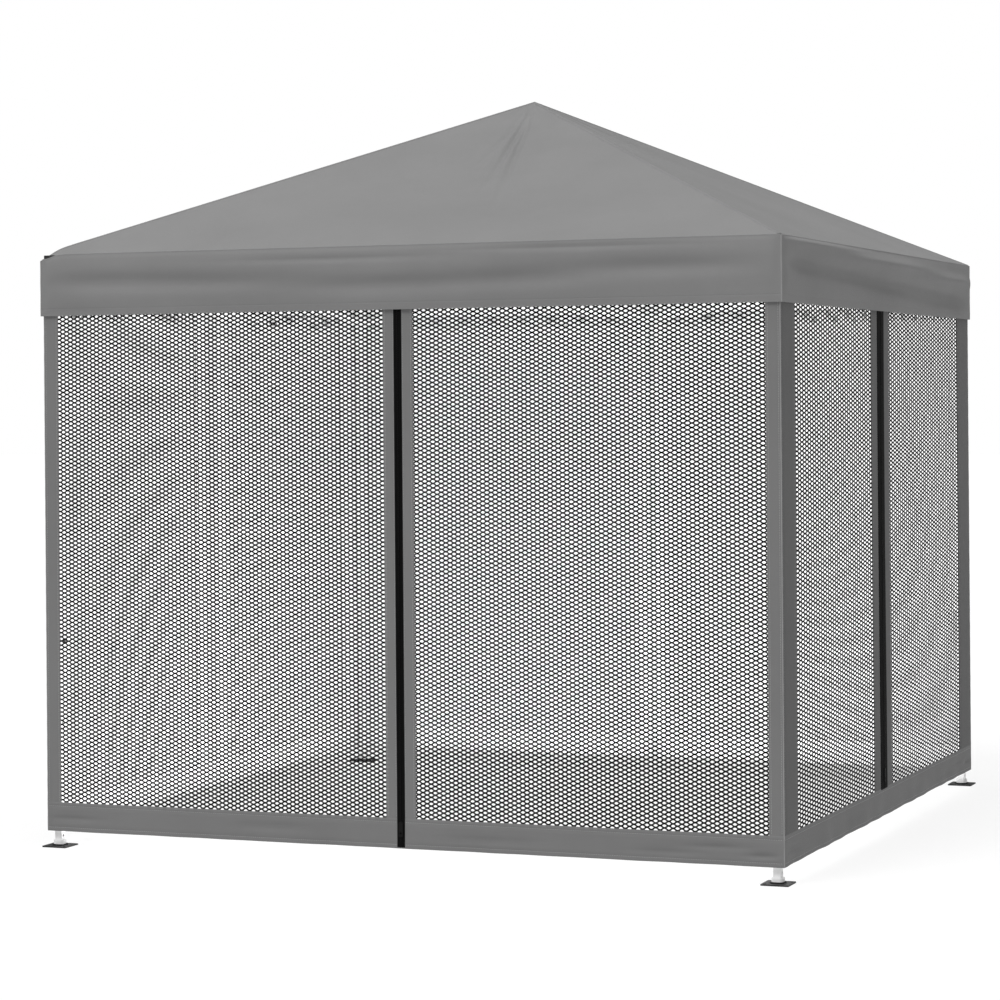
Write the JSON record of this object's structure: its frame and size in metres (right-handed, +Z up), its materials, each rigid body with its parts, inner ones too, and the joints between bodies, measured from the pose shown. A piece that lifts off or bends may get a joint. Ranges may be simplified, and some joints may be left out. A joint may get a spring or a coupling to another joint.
{
  "type": "screen house",
  "caption": "Pop-up screen house: square folding scissor frame on telescoping legs, peaked canopy with valance, and zipped netting walls.",
  "frame": {"origin": "on the ground under the peak", "axes": "+Z up, -Y the front wall's outward side, +X the right wall's outward side"},
  "size_m": [2.465, 2.465, 2.43],
  "materials": {
    "canopy_fabric": "matte",
    "netting": "matte",
    "zipper_pull": "satin",
    "lock_button": "satin",
    "foot_plate": "satin",
    "bracket": "satin",
    "frame_tube": "powder coat"
  },
  "bodies": {
    "peak": {"peak_hub_upper": "bracket", "peak_pole": "frame_tube", "canopy_cover": "canopy_fabric"},
    "inner_bar_front_a": {"inner_bar_front_a": "frame_tube"},
    "inner_bar_front_b": {"inner_bar_front_b": "frame_tube"},
    "mid_bracket_top_front": {"mid_bracket_top_front": "bracket", "mesh_wall_front": "netting"},
    "mid_bracket_bottom_front": {"mid_bracket_bottom_front": "bracket"},
    "peak_hub_lower": {"peak_hub_lower": "bracket"},
    "inner_bar_back_a": {"inner_bar_back_a": "frame_tube"},
    "inner_bar_back_b": {"inner_bar_back_b": "frame_tube"},
    "mid_bracket_top_back": {"mid_bracket_top_back": "bracket", "mesh_wall_back": "netting"},
    "mid_bracket_bottom_back": {"mid_bracket_bottom_back": "bracket"},
    "front_bar_left_a": {"front_bar_left_a": "frame_tube"},
    "front_bar_left_b": {"front_bar_left_b": "frame_tube"},
    "leg_front_left": {"outer_leg_front_left": "frame_tube", "corner_bracket_front_left": "bracket"},
    "slider_front_left": {"slider_front_left": "bracket"},
    "left_bar_front_a": {"left_bar_front_a": "frame_tube"},
    "left_bar_front_b": {"left_bar_front_b": "frame_tube"},
    "wall_left": {"mesh_wall_left": "netting"},
    "inner_leg_front_left": {"inner_leg_front_left": "frame_tube", "foot_front_left": "foot_plate"},
    "leg_button_front_left": {"leg_button_front_left": "lock_button"},
    "front_bar_right_a": {"front_bar_right_a": "frame_tube"},
    "front_bar_right_b": {"front_bar_right_b": "frame_tube"},
    "leg_front_right": {"outer_leg_front_right": "frame_tube", "corner_bracket_front_right": "bracket"},
    "slider_front_right": {"slider_front_right": "bracket"},
    "right_bar_front_a": {"right_bar_front_a": "frame_tube"},
    "right_bar_front_b": {"right_bar_front_b": "frame_tube"},
    "wall_right": {"mesh_wall_right": "netting"},
    "inner_leg_front_right": {"inner_leg_front_right": "frame_tube", "foot_front_right": "foot_plate"},
    "leg_button_front_right": {"leg_button_front_right": "lock_button"},
    "back_bar_left_a": {"back_bar_left_a": "frame_tube"},
    "back_bar_left_b": {"back_bar_left_b": "frame_tube"},
    "leg_back_left": {"outer_leg_back_left": "frame_tube", "corner_bracket_back_left": "bracket"},
    "slider_back_left": {"slider_back_left": "bracket"},
    "left_bar_back_a": {"left_bar_back_a": "frame_tube"},
    "left_bar_back_b": {"left_bar_back_b": "frame_tube"},
    "inner_leg_back_left": {"inner_leg_back_left": "frame_tube", "foot_back_left": "foot_plate"},
    "leg_button_back_left": {"leg_button_back_left": "lock_button"},
    "back_bar_right_a": {"back_bar_right_a": "frame_tube"},
    "back_bar_right_b": {"back_bar_right_b": "frame_tube"},
    "leg_back_right": {"outer_leg_back_right": "frame_tube", "corner_bracket_back_right": "bracket"},
    "slider_back_right": {"slider_back_right": "bracket"},
    "right_bar_back_a": {"right_bar_back_a": "frame_tube"},
    "right_bar_back_b": {"right_bar_back_b": "frame_tube"},
    "inner_leg_back_right": {"inner_leg_back_right": "frame_tube", "foot_back_right": "foot_plate"},
    "leg_button_back_right": {"leg_button_back_right": "lock_button"},
    "zipper_pull_front": {"zipper_pull_front": "zipper_pull"},
    "zipper_pull_back": {"zipper_pull_back": "zipper_pull"},
    "zipper_pull_left": {"zipper_pull_left": "zipper_pull"},
    "zipper_pull_right": {"zipper_pull_right": "zipper_pull"}
  },
  "joints": [
    {"name": "fold", "type": "hinge", "parent": "peak", "child": "inner_bar_front_a", "pos_m": [0, -0.032, 1.842], "axis": [1, 0, 0], "range_deg": [0, 80.4], "deforming": ["canopy_cover", "mesh_wall_front", "mesh_wall_back", "mesh_wall_left", "mesh_wall_right"]},
    {"name": "inner_bar_front_b_pivot", "type": "hinge", "parent": "inner_bar_front_a", "child": "inner_bar_front_b", "pos_m": [0, -0.595, 1.782], "axis": [1, 0, 0], "range_deg": [-161.3, 0]},
    {"name": "mid_bracket_top_front_hinge", "type": "hinge", "parent": "inner_bar_front_b", "child": "mid_bracket_top_front", "pos_m": [0, -1.158, 1.842], "axis": [1, 0, 0], "range_deg": [0, 80.9]},
    {"name": "mid_bracket_bottom_front_hinge", "type": "hinge", "parent": "inner_bar_front_a", "child": "mid_bracket_bottom_front", "pos_m": [0, -1.158, 1.722], "axis": [1, 0, 0], "range_deg": [-80.9, 0]},
    {"name": "peak_hub_lower_hinge", "type": "hinge", "parent": "inner_bar_front_b", "child": "peak_hub_lower", "pos_m": [0, -0.032, 1.722], "axis": [1, 0, 0], "range_deg": [0, 80.9]},
    {"name": "inner_bar_back_a_hinge", "type": "hinge", "parent": "peak", "child": "inner_bar_back_a", "pos_m": [0, 0.032, 1.842], "axis": [1, 0, 0], "range_deg": [-80.9, 0]},
    {"name": "inner_bar_back_b_pivot", "type": "hinge", "parent": "inner_bar_back_a", "child": "inner_bar_back_b", "pos_m": [0, 0.595, 1.782], "axis": [1, 0, 0], "range_deg": [0, 161.3]},
    {"name": "mid_bracket_top_back_hinge", "type": "hinge", "parent": "inner_bar_back_b", "child": "mid_bracket_top_back", "pos_m": [0, 1.158, 1.842], "axis": [1, 0, 0], "range_deg": [-80.9, 0]},
    {"name": "mid_bracket_bottom_back_hinge", "type": "hinge", "parent": "inner_bar_back_a", "child": "mid_bracket_bottom_back", "pos_m": [0, 1.158, 1.722], "axis": [1, 0, 0], "range_deg": [0, 80.9]},
    {"name": "front_bar_left_b_hinge", "type": "hinge", "parent": "mid_bracket_top_front", "child": "front_bar_left_b", "pos_m": [-0.032, -1.19, 1.842], "axis": [0, 1, 0], "range_deg": [-80.9, 0]},
    {"name": "front_bar_left_a_pivot", "type": "hinge", "parent": "front_bar_left_b", "child": "front_bar_left_a", "pos_m": [-0.595, -1.19, 1.782], "axis": [0, 1, 0], "range_deg": [0, 161.3]},
    {"name": "leg_front_left_hinge", "type": "hinge", "parent": "front_bar_left_a", "child": "leg_front_left", "pos_m": [-1.158, -1.19, 1.842], "axis": [0, 1, 0], "range_deg": [-80.9, 0]},
    {"name": "slider_front_left_hinge", "type": "hinge", "parent": "front_bar_left_b", "child": "slider_front_left", "pos_m": [-1.158, -1.19, 1.722], "axis": [0, 1, 0], "range_deg": [0, 80.9]},
    {"name": "left_bar_front_a_hinge", "type": "hinge", "parent": "leg_front_left", "child": "left_bar_front_a", "pos_m": [-1.19, -1.126, 1.842], "axis": [1, 0, 0], "range_deg": [-80.9, 0]},
    {"name": "left_bar_front_b_pivot", "type": "hinge", "parent": "left_bar_front_a", "child": "left_bar_front_b", "pos_m": [-1.19, -0.563, 1.782], "axis": [1, 0, 0], "range_deg": [0, 161.3]},
    {"name": "wall_left_hinge", "type": "hinge", "parent": "left_bar_front_b", "child": "wall_left", "pos_m": [-1.19, 0, 1.842], "axis": [1, 0, 0], "range_deg": [-80.9, 0]},
    {"name": "leg_height_front_left", "type": "slide", "parent": "leg_front_left", "child": "inner_leg_front_left", "axis": [0, 0, 1], "range_m": [0, 0.55]},
    {"name": "leg_button_press_front_left", "type": "slide", "parent": "leg_front_left", "child": "leg_button_front_left", "axis": [-1, 0, 0], "range_m": [0, 0.003], "stiffness_N_per_m": 600, "springref_m": -0.003},
    {"name": "front_bar_right_b_hinge", "type": "hinge", "parent": "mid_bracket_top_front", "child": "front_bar_right_b", "pos_m": [0.032, -1.19, 1.842], "axis": [0, 1, 0], "range_deg": [0, 80.9]},
    {"name": "front_bar_right_a_pivot", "type": "hinge", "parent": "front_bar_right_b", "child": "front_bar_right_a", "pos_m": [0.595, -1.19, 1.782], "axis": [0, 1, 0], "range_deg": [-161.3, 0]},
    {"name": "leg_front_right_hinge", "type": "hinge", "parent": "front_bar_right_a", "child": "leg_front_right", "pos_m": [1.158, -1.19, 1.842], "axis": [0, 1, 0], "range_deg": [0, 80.9]},
    {"name": "slider_front_right_hinge", "type": "hinge", "parent": "front_bar_right_b", "child": "slider_front_right", "pos_m": [1.158, -1.19, 1.722], "axis": [0, 1, 0], "range_deg": [-80.9, 0]},
    {"name": "right_bar_front_a_hinge", "type": "hinge", "parent": "leg_front_right", "child": "right_bar_front_a", "pos_m": [1.19, -1.126, 1.842], "axis": [1, 0, 0], "range_deg": [-80.9, 0]},
    {"name": "right_bar_front_b_pivot", "type": "hinge", "parent": "right_bar_front_a", "child": "right_bar_front_b", "pos_m": [1.19, -0.563, 1.782], "axis": [1, 0, 0], "range_deg": [0, 161.3]},
    {"name": "wall_right_hinge", "type": "hinge", "parent": "right_bar_front_b", "child": "wall_right", "pos_m": [1.19, 0, 1.842], "axis": [1, 0, 0], "range_deg": [-80.9, 0]},
    {"name": "leg_height_front_right", "type": "slide", "parent": "leg_front_right", "child": "inner_leg_front_right", "axis": [0, 0, 1], "range_m": [0, 0.55]},
    {"name": "leg_button_press_front_right", "type": "slide", "parent": "leg_front_right", "child": "leg_button_front_right", "axis": [1, 0, 0], "range_m": [0, 0.003], "stiffness_N_per_m": 600, "springref_m": -0.003},
    {"name": "back_bar_left_b_hinge", "type": "hinge", "parent": "mid_bracket_top_back", "child": "back_bar_left_b", "pos_m": [-0.032, 1.19, 1.842], "axis": [0, 1, 0], "range_deg": [-80.9, 0]},
    {"name": "back_bar_left_a_pivot", "type": "hinge", "parent": "back_bar_left_b", "child": "back_bar_left_a", "pos_m": [-0.595, 1.19, 1.782], "axis": [0, 1, 0], "range_deg": [0, 161.3]},
    {"name": "leg_back_left_hinge", "type": "hinge", "parent": "back_bar_left_a", "child": "leg_back_left", "pos_m": [-1.158, 1.19, 1.842], "axis": [0, 1, 0], "range_deg": [-80.9, 0]},
    {"name": "slider_back_left_hinge", "type": "hinge", "parent": "back_bar_left_b", "child": "slider_back_left", "pos_m": [-1.158, 1.19, 1.722], "axis": [0, 1, 0], "range_deg": [0, 80.9]},
    {"name": "left_bar_back_a_hinge", "type": "hinge", "parent": "leg_back_left", "child": "left_bar_back_a", "pos_m": [-1.19, 1.126, 1.842], "axis": [1, 0, 0], "range_deg": [0, 80.9]},
    {"name": "left_bar_back_b_pivot", "type": "hinge", "parent": "left_bar_back_a", "child": "left_bar_back_b", "pos_m": [-1.19, 0.563, 1.782], "axis": [1, 0, 0], "range_deg": [-161.3, 0]},
    {"name": "leg_height_back_left", "type": "slide", "parent": "leg_back_left", "child": "inner_leg_back_left", "axis": [0, 0, 1], "range_m": [0, 0.55]},
    {"name": "leg_button_press_back_left", "type": "slide", "parent": "leg_back_left", "child": "leg_button_back_left", "axis": [-1, 0, 0], "range_m": [0, 0.003], "stiffness_N_per_m": 600, "springref_m": -0.003},
    {"name": "back_bar_right_b_hinge", "type": "hinge", "parent": "mid_bracket_top_back", "child": "back_bar_right_b", "pos_m": [0.032, 1.19, 1.842], "axis": [0, 1, 0], "range_deg": [0, 80.9]},
    {"name": "back_bar_right_a_pivot", "type": "hinge", "parent": "back_bar_right_b", "child": "back_bar_right_a", "pos_m": [0.595, 1.19, 1.782], "axis": [0, 1, 0], "range_deg": [-161.3, 0]},
    {"name": "leg_back_right_hinge", "type": "hinge", "parent": "back_bar_right_a", "child": "leg_back_right", "pos_m": [1.158, 1.19, 1.842], "axis": [0, 1, 0], "range_deg": [0, 80.9]},
    {"name": "slider_back_right_hinge", "type": "hinge", "parent": "back_bar_right_b", "child": "slider_back_right", "pos_m": [1.158, 1.19, 1.722], "axis": [0, 1, 0], "range_deg": [-80.9, 0]},
    {"name": "right_bar_back_a_hinge", "type": "hinge", "parent": "leg_back_right", "child": "right_bar_back_a", "pos_m": [1.19, 1.126, 1.842], "axis": [1, 0, 0], "range_deg": [0, 80.9]},
    {"name": "right_bar_back_b_pivot", "type": "hinge", "parent": "right_bar_back_a", "child": "right_bar_back_b", "pos_m": [1.19, 0.563, 1.782], "axis": [1, 0, 0], "range_deg": [-161.3, 0]},
    {"name": "leg_height_back_right", "type": "slide", "parent": "leg_back_right", "child": "inner_leg_back_right", "axis": [0, 0, 1], "range_m": [0, 0.55]},
    {"name": "leg_button_press_back_right", "type": "slide", "parent": "leg_back_right", "child": "leg_button_back_right", "axis": [1, 0, 0], "range_m": [0, 0.003], "stiffness_N_per_m": 600, "springref_m": -0.003},
    {"name": "zipper_slide_front", "type": "slide", "parent": "mid_bracket_top_front", "child": "zipper_pull_front", "axis": [0, 0, 1], "range_m": [0, 1.5]},
    {"name": "zipper_slide_back", "type": "slide", "parent": "mid_bracket_top_back", "child": "zipper_pull_back", "axis": [0, 0, 1], "range_m": [0, 1.5]},
    {"name": "zipper_slide_left", "type": "slide", "parent": "wall_left", "child": "zipper_pull_left", "axis": [0, 0, 1], "range_m": [0, 1.42]},
    {"name": "zipper_slide_right", "type": "slide", "parent": "wall_right", "child": "zipper_pull_right", "axis": [0, 0, 1], "range_m": [0, 1.42]}
  ],
  "couplings": [
    {"joint": "inner_bar_front_b_pivot", "follows": "fold", "ratio": -2},
    {"joint": "mid_bracket_top_front_hinge", "follows": "fold", "ratio": 1},
    {"joint": "mid_bracket_bottom_front_hinge", "follows": "fold", "ratio": -1},
    {"joint": "peak_hub_lower_hinge", "follows": "fold", "ratio": 1},
    {"joint": "inner_bar_back_a_hinge", "follows": "fold", "ratio": -1},
    {"joint": "inner_bar_back_b_pivot", "follows": "fold", "ratio": 2},
    {"joint": "mid_bracket_top_back_hinge", "follows": "fold", "ratio": -1},
    {"joint": "mid_bracket_bottom_back_hinge", "follows": "fold", "ratio": 1},
    {"joint": "front_bar_left_b_hinge", "follows": "fold", "ratio": -1},
    {"joint": "front_bar_left_a_pivot", "follows": "fold", "ratio": 2},
    {"joint": "leg_front_left_hinge", "follows": "fold", "ratio": -1},
    {"joint": "slider_front_left_hinge", "follows": "fold", "ratio": 1},
    {"joint": "left_bar_front_a_hinge", "follows": "fold", "ratio": -1},
    {"joint": "left_bar_front_b_pivot", "follows": "fold", "ratio": 2},
    {"joint": "wall_left_hinge", "follows": "fold", "ratio": -1},
    {"joint": "front_bar_right_b_hinge", "follows": "fold", "ratio": 1},
    {"joint": "front_bar_right_a_pivot", "follows": "fold", "ratio": -2},
    {"joint": "leg_front_right_hinge", "follows": "fold", "ratio": 1},
    {"joint": "slider_front_right_hinge", "follows": "fold", "ratio": -1},
    {"joint": "right_bar_front_a_hinge", "follows": "fold", "ratio": -1},
    {"joint": "right_bar_front_b_pivot", "follows": "fold", "ratio": 2},
    {"joint": "wall_right_hinge", "follows": "fold", "ratio": -1},
    {"joint": "back_bar_left_b_hinge", "follows": "fold", "ratio": -1},
    {"joint": "back_bar_left_a_pivot", "follows": "fold", "ratio": 2},
    {"joint": "leg_back_left_hinge", "follows": "fold", "ratio": -1},
    {"joint": "slider_back_left_hinge", "follows": "fold", "ratio": 1},
    {"joint": "left_bar_back_a_hinge", "follows": "fold", "ratio": 1},
    {"joint": "left_bar_back_b_pivot", "follows": "fold", "ratio": -2},
    {"joint": "back_bar_right_b_hinge", "follows": "fold", "ratio": 1},
    {"joint": "back_bar_right_a_pivot", "follows": "fold", "ratio": -2},
    {"joint": "leg_back_right_hinge", "follows": "fold", "ratio": 1},
    {"joint": "slider_back_right_hinge", "follows": "fold", "ratio": -1},
    {"joint": "right_bar_back_a_hinge", "follows": "fold", "ratio": 1},
    {"joint": "right_bar_back_b_pivot", "follows": "fold", "ratio": -2}
  ]
}
